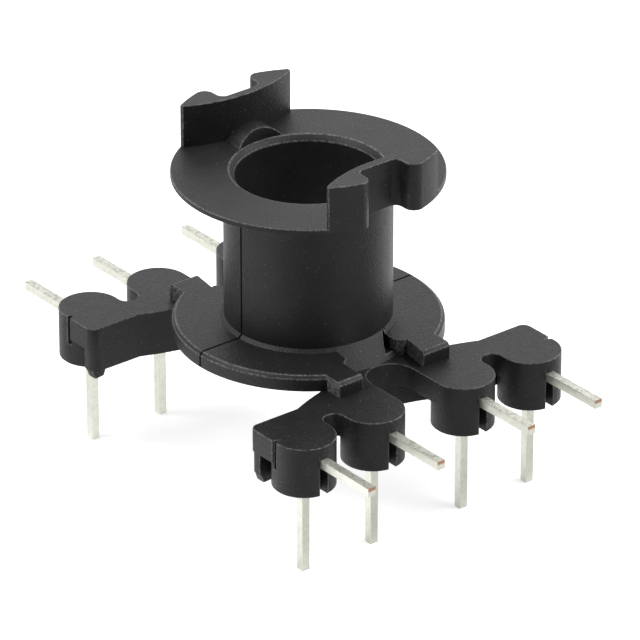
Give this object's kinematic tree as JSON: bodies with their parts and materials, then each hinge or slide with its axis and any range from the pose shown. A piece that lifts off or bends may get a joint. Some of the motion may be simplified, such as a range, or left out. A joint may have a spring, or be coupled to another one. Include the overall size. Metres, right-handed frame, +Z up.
{
  "type": "transformer bobbin",
  "caption": "Round coil former with two flanges, notched lugs above, terminal bars with round posts below, and bent square terminals for board mounting.",
  "frame": {"origin": "on the axis of the tube, level with the tips of the upright terminal legs", "axes": "+Z up along the bore, +X from the tube towards the front terminal bar and along its sideways legs, +Y along the bars"},
  "size_m": [0.0494, 0.031, 0.033],
  "materials": {
    "moulded_body": "matte black phenolic moulding with fine pale specks",
    "tinned_wire": "bright tinned square copper wire"
  },
  "bodies": {
    "root": {"former_body": "moulded_body", "terminal_front_1": "tinned_wire", "terminal_front_2": "tinned_wire", "terminal_front_3": "tinned_wire", "terminal_front_4": "tinned_wire", "terminal_rear_1": "tinned_wire", "terminal_rear_2": "tinned_wire", "terminal_rear_3": "tinned_wire", "terminal_rear_4": "tinned_wire"}
  },
  "joints": []
}
